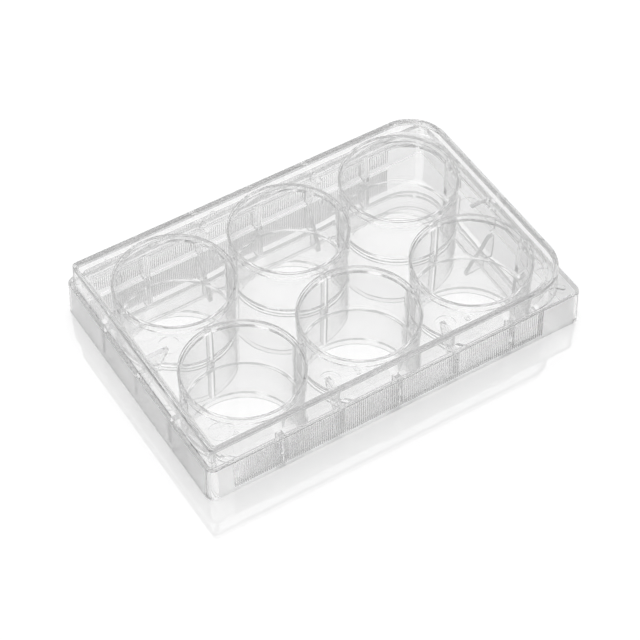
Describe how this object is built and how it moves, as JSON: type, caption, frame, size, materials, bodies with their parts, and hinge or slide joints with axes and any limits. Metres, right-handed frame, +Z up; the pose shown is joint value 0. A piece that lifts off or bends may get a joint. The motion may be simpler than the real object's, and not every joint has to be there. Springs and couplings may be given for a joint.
{
  "type": "six-well culture plate",
  "caption": "Clear rectangular culture plate with round flat-bottomed wells in a ribbed skirt, under a loose lid with a raised edge.",
  "frame": {"origin": "centre of the footprint, on the plane that the foot rests on", "axes": "+Z up, +X along the long side from the square-cornered end of the lid to its rounded end"},
  "size_m": [0.1278, 0.0854, 0.021],
  "materials": {
    "clear_polystyrene": "gloss"
  },
  "bodies": {
    "root": {"well_plate": "clear_polystyrene", "lid": "clear_polystyrene"}
  },
  "joints": []
}
